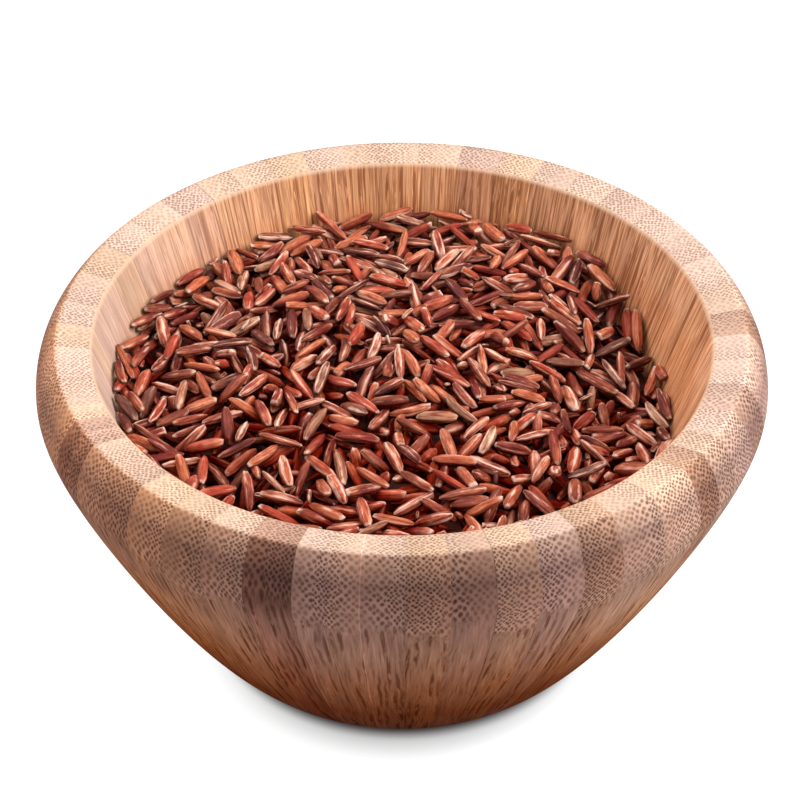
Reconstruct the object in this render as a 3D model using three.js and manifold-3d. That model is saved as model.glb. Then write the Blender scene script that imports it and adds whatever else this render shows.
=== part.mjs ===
// A small turned bamboo bowl filled with a heap of long-grain red rice.
//
// Millimetres, +Z up. The origin is the centre of the bowl's foot, on the surface it stands on.
// The bowl is one thick-walled turned piece. The rice is one solid: a core that fills the
// bowl, with the top grains fused on at true size.

import * as THREE from "three";
import { mergeVertices } from "three/addons/utils/BufferGeometryUtils.js";
import Module from "manifold-3d";

// ---- Driving dimensions of the bowl ----

const BOWL_RADIUS = 60; // at the widest, a little below the rim
const BOWL_HEIGHT = 60;
const FOOT_RADIUS = 30.8; // flat face that the bowl rests on
const WIDEST_HEIGHT = 51.3;
const FOOT_FLARE = { out: 7.6, up: 0.7 }; // the outside leaves the foot almost level
const UPRIGHT_REACH = 6.4; // and comes up into the widest ring upright
const SHOULDER_RADIUS = 12; // arc from the widest ring up to the rim's outer edge
const RIM_INNER_RADIUS = 50.5;
const RIM_FALL = 0.9; // the rim's face dips towards the inside
const RIM_BEVEL = 0.6; // eased inner edge
const WALL_SLOPE = 0.331; // how much the inner wall closes in for each mm down
const WALL_FOOT_HEIGHT = 38; // below this the inner wall curves into the floor
const WALL_FOOT_REACH = 12; // how long it keeps its slope there
const FLOOR_HEIGHT = 9; // thickness of the bowl's bottom
const BOWL_SIDES = 64;

// ---- Driving dimensions of the rice ----

const CLEARANCE = 0.3; // between the rice and the bowl
const HEAP_EDGE_HEIGHT = 50.2; // where the rice meets the wall
const HEAP_DOME_RISE = 3.2;
const HEAP_SWELL = { rise: 0.45, lumpX: 7, lumpY: 8, slantX: 13, slantY: 11 }; // soft unevenness
const HOLLOW = { x: 43, y: 2, depth: 7.4, spreadX: 17, spreadY: 16 }; // dip at the right-hand wall
const CORE_SINK = 1.5; // the core's surface lies this far below the tops of the grains
const CORE_SIDES = 32;
const CORE_RINGS = 5;

const GRAIN = { length: 7.0, width: 2.1, thickness: 1.8 };
const GRAIN_SIZE_SPREAD = 0.09; // share by which single grains are longer or shorter
const GRAIN_SIDES = 4;
const GRAIN_RING_AT = 0.27; // a grain's two rings, as a share of its length from its middle
const GRAIN_RING_SIZE = 0.9; // their width, as a share of the grain's
const GRAIN_WALL_GAP = 0.2; // more room for a grain's end than the core has
const BEDDED = { count: 250, lift: 0.75, tilt: 7, draws: 150 }; // half sunk in the core
const LYING = { count: 72, lift: 1.6, tilt: 12, draws: 60 }; // resting across those
const RANDOM_SEED = 20;
const MERGE_DISTANCE = 1e-3;

// ---- Steps of the curves ----

const OUTSIDE_STEPS = 8;
const SHOULDER_STEPS = 4;
const CAVITY_STEPS = 6;

const wasm = await Module();
wasm.setup();

// ---- Shapes of the bowl ----

const degrees = THREE.MathUtils.degToRad;
const point = (radius, height) => new THREE.Vector2(radius, height);

/** Radius of the bowl's inner wall at a height, on its straight upper part. */
function wallRadius(height) {
  return RIM_INNER_RADIUS - WALL_SLOPE * (BOWL_HEIGHT - RIM_FALL - height);
}

/** The curve from the foot of the straight inner wall down to the middle of the bowl's floor. */
function cavityCurve() {
  const top = point(wallRadius(WALL_FOOT_HEIGHT), WALL_FOOT_HEIGHT);
  return new THREE.CubicBezierCurve(
    top,
    point(top.x - WALL_SLOPE * WALL_FOOT_REACH, top.y - WALL_FOOT_REACH),
    point(FOOT_RADIUS, FLOOR_HEIGHT),
    point(0, FLOOR_HEIGHT),
  );
}

/** The outside of the bowl, from the edge of the foot up to the widest ring. */
function outsideCurve() {
  return new THREE.CubicBezierCurve(
    point(FOOT_RADIUS, 0),
    point(FOOT_RADIUS + FOOT_FLARE.out, FOOT_FLARE.up),
    point(BOWL_RADIUS, WIDEST_HEIGHT - UPRIGHT_REACH),
    point(BOWL_RADIUS, WIDEST_HEIGHT),
  );
}

/** The rounded shoulder, an arc that starts upright at the widest ring and ends at the rim. */
function shoulderArc() {
  const centreRadius = BOWL_RADIUS - SHOULDER_RADIUS;
  const end = Math.asin((BOWL_HEIGHT - WIDEST_HEIGHT) / SHOULDER_RADIUS);
  return new THREE.EllipseCurve(
    centreRadius, WIDEST_HEIGHT, SHOULDER_RADIUS, SHOULDER_RADIUS, 0, end,
  );
}

/** A profile of radius and height turned about the vertical axis. */
function turned(profile, sides) {
  const geometry = new THREE.LatheGeometry(profile, sides);
  return geometry.rotateX(Math.PI / 2);
}

function bowlGeometry() {
  const rimInnerHeight = BOWL_HEIGHT - RIM_FALL;
  const profile = [
    point(0, 0),
    ...outsideCurve().getPoints(OUTSIDE_STEPS),
    ...shoulderArc().getPoints(SHOULDER_STEPS).slice(1),
    point(RIM_INNER_RADIUS + RIM_BEVEL, rimInnerHeight),
    point(wallRadius(rimInnerHeight - RIM_BEVEL), rimInnerHeight - RIM_BEVEL),
    ...cavityCurve().getPoints(CAVITY_STEPS),
  ];
  return turned(profile, BOWL_SIDES);
}

// ---- The heap ----

/** Height of the tops of the grains: a low, uneven dome that dips at one side. */
function heapHeight(x, y) {
  const share = Math.hypot(x, y) / wallRadius(HEAP_EDGE_HEIGHT);
  const dome = HEAP_DOME_RISE * (1 - share * share);
  const lump = Math.sin(x / HEAP_SWELL.lumpX + 1) * Math.cos(y / HEAP_SWELL.lumpY);
  const slant = Math.sin(y / HEAP_SWELL.slantY - x / HEAP_SWELL.slantX);
  const across = (x - HOLLOW.x) / HOLLOW.spreadX;
  const along = (y - HOLLOW.y) / HOLLOW.spreadY;
  const hollow = HOLLOW.depth * Math.exp(-(across * across + along * along) / 2);
  return HEAP_EDGE_HEIGHT + dome + HEAP_SWELL.rise * (lump + slant) - hollow;
}

const coreHeight = (x, y) => heapHeight(x, y) - CORE_SINK;

/** Points of the cavity's curve, moved inwards by the clearance, from the floor upwards. */
function coreSideProfile() {
  const curve = cavityCurve();
  const profile = [];
  for (let step = CAVITY_STEPS; step >= 0; step--) {
    const at = curve.getPoint(step / CAVITY_STEPS);
    const tangent = curve.getTangent(step / CAVITY_STEPS);
    const inward = point(tangent.y, -tangent.x).multiplyScalar(CLEARANCE);
    profile.push(step === CAVITY_STEPS ? point(0, FLOOR_HEIGHT + CLEARANCE) : at.add(inward));
  }
  return profile;
}

/** Closed body between the bowl's inside and the heap's surface, built ring by ring. */
function coreGeometry() {
  const rings = [];
  const side = coreSideProfile();
  for (const p of side.slice(1)) rings.push((c, s) => [p.x * c, p.x * s, p.y]);
  const edge = wallRadius(HEAP_EDGE_HEIGHT - CORE_SINK) - CLEARANCE;
  for (let ring = CORE_RINGS; ring > 0; ring--) {
    const share = ring / CORE_RINGS;
    rings.push((c, s) => {
      const height = coreHeight(edge * share * c, edge * share * s);
      const radius = ring === CORE_RINGS ? wallRadius(height) - CLEARANCE : edge * share;
      return [radius * c, radius * s, height];
    });
  }
  const positions = [0, 0, side[0].y];
  for (const ring of rings) {
    for (let k = 0; k < CORE_SIDES; k++) {
      const angle = (2 * Math.PI * k) / CORE_SIDES;
      positions.push(...ring(Math.cos(angle), Math.sin(angle)));
    }
  }
  positions.push(0, 0, coreHeight(0, 0));
  const at = (ring, k) => 1 + ring * CORE_SIDES + (k % CORE_SIDES);
  const last = positions.length / 3 - 1;
  const index = [];
  for (let k = 0; k < CORE_SIDES; k++) {
    index.push(0, at(0, k + 1), at(0, k));
    for (let ring = 0; ring + 1 < rings.length; ring++) {
      index.push(at(ring, k), at(ring, k + 1), at(ring + 1, k));
      index.push(at(ring, k + 1), at(ring + 1, k + 1), at(ring + 1, k));
    }
    index.push(at(rings.length - 1, k), at(rings.length - 1, k + 1), last);
  }
  const geometry = new THREE.BufferGeometry();
  geometry.setAttribute("position", new THREE.Float32BufferAttribute(positions, 3));
  geometry.setIndex(index);
  return geometry;
}

// ---- The grains ----

/** Repeatable random numbers from 0 to 1. */
function randomNumbers(seed) {
  let state = seed;
  return () => {
    state = (state + 0x6d2b79f5) | 0;
    let mixed = Math.imul(state ^ (state >>> 15), 1 | state);
    mixed = (mixed + Math.imul(mixed ^ (mixed >>> 7), 61 | mixed)) ^ mixed;
    return ((mixed ^ (mixed >>> 14)) >>> 0) / 4294967296;
  };
}

const random = randomNumbers(RANDOM_SEED);
const spread = (half) => (random() * 2 - 1) * half;

/** A grain of unit length and width along X: two rings and two pointed ends. */
function unitGrain() {
  const profile = [
    point(0, -0.5),
    point(GRAIN_RING_SIZE / 2, -GRAIN_RING_AT),
    point(GRAIN_RING_SIZE / 2, GRAIN_RING_AT),
    point(0, 0.5),
  ];
  return new THREE.LatheGeometry(profile, GRAIN_SIDES).rotateZ(-Math.PI / 2);
}

const LINE_SAMPLES = [-1, -0.5, 0, 0.5, 1]; // from one end of a grain's middle line to the other

/** Distance between the middle lines of two lying grains, seen from above. */
function gapBetween(a, b) {
  const samplesOf = (g) => LINE_SAMPLES.map((e) => [
    g.x + (e * g.reach * Math.cos(g.turn)), g.y + (e * g.reach * Math.sin(g.turn)),
  ]);
  const toLine = (p, g) => {
    const along = (p[0] - g.x) * Math.cos(g.turn) + (p[1] - g.y) * Math.sin(g.turn);
    const held = THREE.MathUtils.clamp(along, -g.reach, g.reach);
    return Math.hypot(
      p[0] - g.x - held * Math.cos(g.turn), p[1] - g.y - held * Math.sin(g.turn),
    );
  };
  return Math.min(
    ...samplesOf(a).map((p) => toLine(p, b)),
    ...samplesOf(b).map((p) => toLine(p, a)),
  );
}

/** A random grain that lies inside the bowl. */
function drawGrain(layer) {
  const size = 1 + spread(GRAIN_SIZE_SPREAD);
  const reach = (GRAIN.length * size) / 2;
  const edge = wallRadius(HEAP_EDGE_HEIGHT) - CLEARANCE - GRAIN.width / 2;
  for (;;) {
    const x = spread(edge);
    const y = spread(edge);
    const turn = random() * Math.PI;
    const grain = { x, y, turn, reach, size, tilt: spread(layer.tilt), lift: layer.lift };
    const farEnd = Math.max(
      Math.hypot(x + reach * Math.cos(turn), y + reach * Math.sin(turn)),
      Math.hypot(x - reach * Math.cos(turn), y - reach * Math.sin(turn)),
    );
    const room = wallRadius(coreHeight(x, y)) - CLEARANCE - GRAIN_WALL_GAP;
    if (farEnd < room && Math.hypot(x, y) < room - GRAIN.width / 2) return grain;
  }
}

/** A layer of grains, each put where its line lies clearest of those already there. */
function spreadLayer(layer) {
  const placed = [];
  while (placed.length < layer.count) {
    let best = null;
    let bestGap = -1;
    for (let draw = 0; draw < layer.draws; draw++) {
      const grain = drawGrain(layer);
      const near = placed.filter((g) => Math.hypot(g.x - grain.x, g.y - grain.y) < 2 * GRAIN.length);
      const gap = near.length ? Math.min(...near.map((g) => gapBetween(g, grain))) : GRAIN.length;
      if (gap > bestGap) {
        best = grain;
        bestGap = gap;
      }
    }
    placed.push(best);
  }
  return placed;
}

/** A grain's geometry in place, lying along the slope of the heap. */
function grainGeometry(grain) {
  const [c, s] = [Math.cos(grain.turn), Math.sin(grain.turn)];
  const rise = coreHeight(grain.x + grain.reach * c, grain.y + grain.reach * s)
    - coreHeight(grain.x - grain.reach * c, grain.y - grain.reach * s);
  const slope = Math.atan2(rise, 2 * grain.reach) + degrees(grain.tilt);
  const place = new THREE.Object3D();
  place.rotation.set(spread(Math.PI), -slope, grain.turn, "ZYX");
  place.position.set(grain.x, grain.y, coreHeight(grain.x, grain.y) + grain.lift);
  place.scale.set(2 * grain.reach, GRAIN.width * grain.size, GRAIN.thickness * grain.size);
  place.updateMatrix();
  return unitGrain().applyMatrix4(place.matrix);
}

// ---- Joining ----

/** A closed geometry as a solid that can be joined and cut. */
function solidOf(geometry) {
  const bare = new THREE.BufferGeometry();
  bare.setAttribute("position", geometry.getAttribute("position"));
  if (geometry.index) bare.setIndex(geometry.index);
  const merged = mergeVertices(bare, MERGE_DISTANCE);
  return new wasm.Manifold(new wasm.Mesh({
    numProp: 3,
    vertProperties: merged.attributes.position.array,
    triVerts: new Uint32Array(merged.index.array),
  }));
}

/** A solid back as a geometry. */
function geometryOf(solid) {
  const { numProp, vertProperties, triVerts } = solid.getMesh();
  const geometry = new THREE.BufferGeometry();
  geometry.setAttribute("position", new THREE.BufferAttribute(vertProperties, numProp));
  geometry.setIndex(new THREE.BufferAttribute(triVerts, 1));
  return geometry.toNonIndexed();
}

/** Everything joined into the one largest body, with sealed hollows filled. */
function fused(solids) {
  const bodies = wasm.Manifold.union(solids).decompose();
  return bodies.reduce((largest, body) => (body.volume() > largest.volume() ? body : largest));
}

function riceGeometry() {
  const grains = [...spreadLayer(BEDDED), ...spreadLayer(LYING)];
  return geometryOf(fused([coreGeometry(), ...grains.map(grainGeometry)].map(solidOf)));
}

// ---- The object ----

const bamboo = new THREE.MeshStandardMaterial({ color: 0xc59a72, roughness: 0.55, metalness: 0 });
const redRice = new THREE.MeshStandardMaterial({ color: 0x7a3020, roughness: 0.5, metalness: 0 });

/** One named, flat-shaded piece. */
function piece(name, geometry, material) {
  geometry.computeVertexNormals();
  const mesh = new THREE.Mesh(geometry, material);
  mesh.name = name;
  return mesh;
}

const bowlOfRice = new THREE.Group();
bowlOfRice.add(piece("bamboo_bowl", bowlGeometry(), bamboo));
bowlOfRice.add(piece("red_rice", riceGeometry(), redRice));

export default bowlOfRice;
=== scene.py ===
"""A small bamboo bowl filled with dry long-grain red rice.

The file is laid out as an add-on: settings hold the sizes and colours, each operator makes one
piece or one group of like pieces, and main() calls them in order. Shapes are worked out in
millimetres as numpy arrays and put into meshes in metres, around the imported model.
"""

import math

import bpy
import numpy as np
from bpy.props import FloatProperty, FloatVectorProperty, IntProperty, PointerProperty
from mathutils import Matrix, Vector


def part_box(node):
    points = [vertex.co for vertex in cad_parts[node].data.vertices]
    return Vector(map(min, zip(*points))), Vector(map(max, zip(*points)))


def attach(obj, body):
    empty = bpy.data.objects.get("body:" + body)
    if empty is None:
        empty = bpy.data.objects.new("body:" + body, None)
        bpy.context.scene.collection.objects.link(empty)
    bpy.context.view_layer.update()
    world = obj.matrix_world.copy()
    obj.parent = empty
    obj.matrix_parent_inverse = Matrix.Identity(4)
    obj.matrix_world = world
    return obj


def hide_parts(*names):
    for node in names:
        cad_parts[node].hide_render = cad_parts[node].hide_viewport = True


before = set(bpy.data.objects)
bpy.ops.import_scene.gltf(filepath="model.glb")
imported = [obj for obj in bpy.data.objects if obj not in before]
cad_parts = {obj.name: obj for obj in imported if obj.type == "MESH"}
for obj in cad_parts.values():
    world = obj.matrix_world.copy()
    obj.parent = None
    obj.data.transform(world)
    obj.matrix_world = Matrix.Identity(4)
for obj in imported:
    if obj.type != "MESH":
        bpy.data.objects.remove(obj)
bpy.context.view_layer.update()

bl_info = {
    "name": "Bowl of red rice",
    "version": (1, 0, 0),
    "blender": (4, 5, 0),
    "location": "3D View > Sidebar > Rice bowl",
    "description": "Bamboo bowl filled with a heap of long-grain red rice",
    "category": "Add Mesh",
}

MM = 0.001
BODY = "root"
BOWL_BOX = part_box("bamboo_bowl")


# ---------------------------------------------------------------- settings


def length(name, default_mm, description):
    """A length property in metres, whose default is given in millimetres."""
    return FloatProperty(
        name=name, description=description, default=default_mm * MM, unit="LENGTH", precision=5
    )


def angle(name, default_degrees, description):
    """An angle property, whose default is given in degrees."""
    default = math.radians(default_degrees)
    return FloatProperty(name=name, description=description, default=default, subtype="ANGLE")


def number(name, default, description):
    """A property that is a plain number."""
    return FloatProperty(name=name, description=description, default=default)


def colour(name, default, description):
    """A linear RGB colour property."""
    return FloatVectorProperty(
        name=name, description=description, default=default, subtype="COLOR", size=3, min=0, max=1
    )


class BowlSettings(bpy.types.PropertyGroup):
    """Sizes and colours of the bowl."""

    radius: length("Radius", BOWL_BOX[1].x / MM, "Radius at the widest ring")
    height: length("Height", BOWL_BOX[1].z / MM, "From the table to the rim's outer edge")
    foot_radius: length("Foot radius", 30.8, "Radius of the flat foot")
    widest_height: length("Widest height", 51.3, "Height of the widest ring")
    shoulder_radius: length("Shoulder radius", 12, "Arc from the widest ring to the rim")
    rim_inner_radius: length("Rim inner radius", 50.5, "Radius of the rim's inner edge")
    rim_fall: length("Rim fall", 0.9, "How far the rim's face dips inwards")
    wall_foot_height: length("Wall foot height", 38, "Where the inner wall starts to curve")
    floor_height: length("Floor height", 9, "Thickness of the bowl's bottom")
    wall_slope: number("Wall slope", 0.331, "How much the inner wall closes in going down")
    end_colour: colour("End grain", (0.455, 0.322, 0.250), "Ground colour of the rim's face")
    shoulder_colour: colour("Rim's edge", (0.25, 0.14, 0.10), "Outer edge of the rim")
    # oiled end grain with painted shade: the band round the shoulder, where little light falls
    band_grain_and_shade: colour("Shoulder", (0.133, 0.068, 0.055), "Oiled end grain round the shoulder")
    bulge_colour: colour("Bulge", (0.305, 0.155, 0.118), "Outer wall just under its widest ring")
    upper_colour: colour("Upper wall", (0.345, 0.177, 0.126), "Outer wall below the bulge")
    side_colour: colour("Outer wall", (0.275, 0.103, 0.052), "Long grain of the outer wall")
    # the wood's redder colour with painted shade: the lower wall darkened towards the foot
    low_colour: colour("Lower wall", (0.138, 0.036, 0.013), "Outer wall below the middle")
    # painted shade: the outer wall darkened close to the foot, where it meets the floor
    foot_shade_colour: colour("Near the foot", (0.085, 0.030, 0.018), "Outer wall close to the foot")
    inside_colour: colour("Inner wall", (0.65, 0.338, 0.180), "Long grain of the inner wall")
    # painted light: the inner wall paler on the side that faces the key light
    lit_side_colour: colour("Pale side", (0.53, 0.39, 0.33), "Inner wall's paler side")
    bundle_tint: colour("Fibre bundles", (0.30, 0.20, 0.18), "What the dots do to the ground")


class RiceSettings(bpy.types.PropertyGroup):
    """Sizes and colours of the rice."""

    edge_height: length("Edge height", 50.2, "Height of the rice at the wall")
    dome_rise: length("Dome rise", 3.2, "How much higher the middle of the heap is")
    swell: length("Swell", 0.45, "Soft unevenness of the heap")
    hollow_depth: length("Hollow depth", 7.4, "Depth of the dip at the right-hand wall")
    grain_length: length("Grain length", 7.0, "Length of a whole grain")
    grain_width: length("Grain width", 2.0, "Width of a grain")
    grain_thickness: length("Grain thickness", 1.6, "Thickness of a grain")
    layer_depth: length("Layer depth", 5.0, "Depth of the loose grains over the core")
    grains: IntProperty(name="Grains", description="Most grains that are laid", default=2200)
    seed: IntProperty(name="Seed", description="Seed of every random draw", default=20)
    red_skin: colour("Red skin", (0.35, 0.044, 0.018), "Bran of most grains")
    dark_skin: colour("Dark skin", (0.16, 0.022, 0.012), "Bran of the darkest grains")
    tan_skin: colour("Tan skin", (0.30, 0.125, 0.062), "Bran of unripe, olive grains")
    ripe_skin: colour("Ripe skin", (0.44, 0.108, 0.042), "Bran where it is thin and bright")
    # rubbed bran, made pale partly as a painted highlight
    rubbed_and_sheen: colour("Scuffed bran", (0.64, 0.32, 0.22), "Rubbed ridges and patches")
    pale_tip: colour("Tips", (0.82, 0.57, 0.44), "Grain ends, seams and broken faces")


class StageSettings(bpy.types.PropertyGroup):
    """Camera, floor and light."""

    camera_distance: length("Camera distance", 420, "From the camera to its target")
    target_height: length("Target height", 44.8, "Height of the camera's target on the axis")
    camera_elevation: angle("Camera elevation", 37.9, "How far the camera looks down")
    view_angle: angle("View angle", 18.03, "Width of the camera's view")
    shift: number("Shift", -0.0025, "Sideways shift, as a share of the picture")
    floor_colour: colour("Floor", (0.2, 0.2, 0.2), "Floor, which its glow turns pale")
    floor_glow: number("Floor glow", 0.9, "Lifts the floor's shade")
    surround: number("Surround", 0.22, "Light from all round")
    floor_bounce: number("Bounce", 0.9, "Light from the floor")
    key_light: number("Key light", 4.2, "Soft light from the right")
    side_light: number("Side light", 0.9, "Soft light from the left")
    back_light: number("Back light", 1.8, "Soft light, back left")
    top_light: number("Top light", 1.9, "Soft light from above")


# ---------------------------------------------------------------- shader maths


class Value:
    """An output socket. Python's operators on it add Math nodes; numbers may stand on either side."""

    def __init__(self, finish, socket):
        self.finish = finish
        self.socket = socket

    def __add__(self, other):
        return self.finish.math("ADD", self, other)

    def __sub__(self, other):
        return self.finish.math("SUBTRACT", self, other)

    def __mul__(self, other):
        return self.finish.math("MULTIPLY", self, other)

    def __truediv__(self, other):
        return self.finish.math("DIVIDE", self, other)

    def __rsub__(self, other):
        return self.finish.math("SUBTRACT", other, self)

    __radd__ = __add__
    __rmul__ = __mul__


class Finish:
    """A material's node tree, with one method that makes any node."""

    def __init__(self, name, world=False):
        self.material = (bpy.data.worlds if world else bpy.data.materials).new(name)
        self.material.use_nodes = True
        self.tree = self.material.node_tree
        self.tree.nodes.clear()

    def node(self, kind, settings=(), inputs=(), output=0):
        """A node of a kind: settings are set first, then each input's value or link. One output."""
        made = self.tree.nodes.new("ShaderNode" + kind)
        for name, value in dict(settings).items():
            setattr(made, name, value)
        for name, value in dict(inputs).items():
            if isinstance(value, Value):
                self.tree.links.new(value.socket, made.inputs[name])
            else:
                made.inputs[name].default_value = value
        return Value(self, made.outputs[output]) if made.outputs else None

    def math(self, operation, *values):
        return self.node("Math", {"operation": operation}, dict(enumerate(values)))

    def ramp(self, value, low, high):
        """0 below low, 1 above high and a smooth step between. low above high turns it round."""
        turned = low > high
        step = self.node(
            "MapRange",
            {"interpolation_type": "SMOOTHSTEP"},
            {"Value": value, "From Min": min(low, high), "From Max": max(low, high)},
        )
        return 1 - step if turned else step

    def mix(self, share, a, b):
        """Colours a and b mixed by a share from 0, all a, to 1, all b."""
        a, b = (x if isinstance(x, Value) else (*x, 1.0) for x in (a, b))
        return self.node("Mix", {"data_type": "RGBA"}, {0: share, 6: a, 7: b}, 2)

    def vector(self, operation, a, b, output=0):
        return self.node("VectorMath", {"operation": operation}, {0: a, 1: b}, output)

    def stretch(self, vector, x, y, z=1.0):
        return self.vector("MULTIPLY", vector, (x, y, z))

    def parts(self, vector):
        """The three numbers of a vector."""
        split = self.tree.nodes.new("ShaderNodeSeparateXYZ")
        self.tree.links.new(vector.socket, split.inputs[0])
        return [Value(self, socket) for socket in split.outputs]

    def attribute(self, name):
        return self.node("Attribute", {"attribute_name": name}, output="Vector")

    def uv(self, name):
        return self.node("UVMap", {"uv_map": name})

    def noise(self, vector, scale, detail=2.0, roughness=0.5):
        """Soft noise from 0 to 1."""
        inputs = {"Vector": vector, "Scale": scale, "Detail": detail, "Roughness": roughness}
        return self.node("TexNoise", inputs=inputs)

    def drawn_noise(self, vector, scales, detail=2.0, roughness=0.5):
        """Soft noise with a scale for each of the vector's first two directions."""
        return self.noise(self.stretch(vector, *scales), 1.0, detail, roughness)

    def wander(self, vector, scale, reach):
        """A soft random shift of up to half a reach each way, in three directions."""
        inputs = {"Vector": vector, "Scale": scale, "Detail": 1.0}
        drift = self.node("TexNoise", inputs=inputs, output="Color")
        return self.stretch(self.vector("SUBTRACT", drift, (0.5, 0.5, 0.5)), *reach)

    def swing(self, value, reach):
        """A value from 0 to 1 as a swing of up to half a reach each way."""
        return (value - 0.5) * reach

    def least(self, value, low):
        """A value from 0 to 1 as one from low to 1."""
        return low + value * (1 - low)

    def cells(self, vector, pitch, unevenness):
        """Cells in staggered rows: the distance from a cell's middle in pitches, and its own shade.

        A Voronoi pattern on a square grid that is turned by 45 degrees.
        """
        step = math.sqrt(0.5) / pitch
        turned = self.node("CombineXYZ", inputs={
            0: self.vector("DOT_PRODUCT", vector, (step, step, 0), "Value"),
            1: self.vector("DOT_PRODUCT", vector, (-step, step, 0), "Value"),
        })
        inputs = {"Vector": turned, "Scale": 1.0, "Randomness": unevenness}
        distance = self.node("TexVoronoi", {"voronoi_dimensions": "2D"}, inputs, "Distance")
        own = Value(self, distance.socket.node.outputs["Color"])
        return distance, self.parts(own)[0]

    def tint(self, share, colour, tint):
        """A colour that a share from 0 to 1 multiplies by a tint."""
        return self.mix(share, colour, self.vector("MULTIPLY", colour, tint))

    def scale(self, colour, factor):
        """A colour or vector made lighter or darker by a factor."""
        return self.node("VectorMath", {"operation": "SCALE"}, {0: colour, "Scale": factor})

    def steps(self, value, stops):
        """A colour that runs through (place, colour) stops as a value goes from 0 to 1."""
        ramp = self.tree.nodes.new("ShaderNodeValToRGB")
        elements = ramp.color_ramp.elements
        for element, (place, tint) in zip(elements, (stops[0], stops[-1])):
            element.position, element.color = place, (*tint, 1)
        for place, tint in stops[1:-1]:
            elements.new(place).color = (*tint, 1)
        self.tree.links.new(value.socket, ramp.inputs[0])
        return Value(self, ramp.outputs[0])

    def bump(self, height, depth):
        """A normal bent by a height from 0 to 1 that stands for a depth in metres."""
        inputs = {"Height": height, "Distance": depth, "Strength": 1.0}
        return self.node("Bump", inputs=inputs, output="Normal")

    def shader(self, **inputs):
        """A Principled shader, with its inputs named in words, such as Base_Color."""
        return self.node("BsdfPrincipled", inputs={k.replace("_", " "): v for k, v in inputs.items()})

    def surface(self, bare=None, share=0.0, **inputs):
        """The closing shader. A share of the surface, from 0 to 1, may show a second, bare one."""
        closing = self.shader(**inputs)
        if bare:
            closing = self.node("MixShader", inputs={0: share, 1: closing, 2: bare})
        self.node("OutputMaterial", inputs={"Surface": closing})
        return self.material


# ---------------------------------------------------------------- meshes


def new_piece(name, vertices, faces, finish, replaced):
    """A smooth mesh piece at the origin from vertices in millimetres, riding on the one body."""
    mesh = bpy.data.meshes.new(name)
    mesh.from_pydata((vertices * MM).tolist(), [], faces)
    mesh.shade_smooth()
    mesh.materials.append(finish)
    piece = bpy.data.objects.new(name, mesh)
    bpy.context.scene.collection.objects.link(piece)
    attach(piece, BODY)
    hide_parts(replaced)
    return piece


def add_values(mesh, name, domain, values):
    """A vector attribute from rows of three numbers, in the order of the domain."""
    attribute = mesh.attributes.new(name, "FLOAT_VECTOR", domain)
    attribute.data.foreach_set("vector", np.ascontiguousarray(values, np.float32).ravel())


def add_uv(mesh, name, values):
    """A UV map from one row for each corner."""
    layer = mesh.uv_layers.new(name=name)
    layer.uv.foreach_set("vector", np.ascontiguousarray(values, np.float32).ravel())


def turned_faces(rings, columns):
    """Faces of a closed surface of rings between two poles: a fan, rows of quads and a fan.

    Vertex 0 is the first pole, then each ring in turn, and the last vertex is the other pole.
    """
    column = np.arange(columns)
    after = (column + 1) % columns
    first = 1 + column
    start = np.stack([np.zeros(columns, int), 1 + after, first], 1)
    ring = 1 + np.arange(rings - 1)[:, None] * columns
    quads = np.stack([ring + column, ring + after, ring + columns + after, ring + columns + column], 2)
    last = 1 + (rings - 1) * columns
    end = np.stack([last + column, last + after, np.full(columns, last + columns)], 1)
    return start.tolist() + quads.reshape(-1, 4).tolist() + end.tolist()


def bezier(points, steps):
    """Points on a cubic Bezier curve: the sum of the four Bernstein weights times its points."""
    t = np.linspace(0, 1, steps)[:, None]
    p = np.array(points, float)
    return (1 - t) ** 3 * p[0] + 3 * t * (1 - t) ** 2 * p[1] + 3 * t**2 * (1 - t) * p[2] + t**3 * p[3]


# ---------------------------------------------------------------- the bowl

FOOT_FLARE = (7.6, 0.7)  # the outside leaves the foot almost level, mm out and mm up
UPRIGHT_REACH = 6.4  # and comes up into the widest ring upright
RIM_BEVEL = 0.35  # on the rim's inner edge, mm
WALL_FOOT_REACH = 12.0  # the inner wall bends into the floor over about this height, mm
CURVE_STEPS = 400
ARC_STEPS = 100
EDGE_ROUNDING = 0.8  # window in mm over which the profile is averaged
PROFILE_STEP = 0.05  # mm
RING_SPACING = 1.1  # most distance between rings, mm
RING_TURN = math.radians(7)  # most turn of the profile from ring to ring
STAVE_COLUMNS = 7  # columns of faces across one stave

# The bowl is glued up from blocks of one to three staves. Each block: where it starts, in degrees
# anticlockwise from +X seen from above, how dark each of its staves is, its first seam, from
# -1 for a pale glue line to 1 for a dark one, and by how many mm its end grain stops short.
STAVE_BLOCKS = (
    (-9.0, (0.25, 0.75), 0.2, 0.0),
    (5.0, (0.4, 0.3, 0.5), 0.1, 0.0),
    (29.5, (0.35, 0.5), 0.3, 0.0),
    (47.5, (0.3,), 0.5, 0.0),
    (55.5, (0.45, 0.35), 0.2, 0.0),
    (70.8, (0.65, 0.3), 0.6, 0.0),
    (86.8, (0.35, 0.45, 0.4), 0.2, 0.0),
    (108.7, (0.4, 0.3, 0.35), 0.1, 0.0),
    (130.5, (0.55, 0.25, 0.3), 0.9, 0.0),
    (155.0, (0.5, 0.45), 0.6, 0.0),
    (172.5, (0.35, 0.3), 0.2, 0.0),
    (185.5, (0.15, 0.35), 0.0, 0.0),
    (202.5, (0.15, 0.8, 0.75), -0.3, 2.5),
    (213.0, (0.3, 0.6), 0.2, 2.5),
    (226.0, (0.25, 0.5), -0.2, 1.0),
    (240.0, (0.4,), 0.2, 0.5),
    (246.8, (1.0,), 0.5, 3.0),
    (254.2, (0.4, 0.35), 0.5, 0.0),
    (264.0, (0.5, 0.6, 0.62), -0.8, 1.0),
    (283.5, (0.35,), 0.7, -5.0),
    (290.2, (0.4, 0.7), 0.0, -0.5),
    (303.5, (0.35, 0.15), 0.3, -1.5),
    (319.5, (0.8, 0.5), 0.2, -1.0),
    (329.5, (0.4, 0.65), 0.1, 0.0),
    (344.0, (0.15,), 0.1, 0.0),
)


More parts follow.
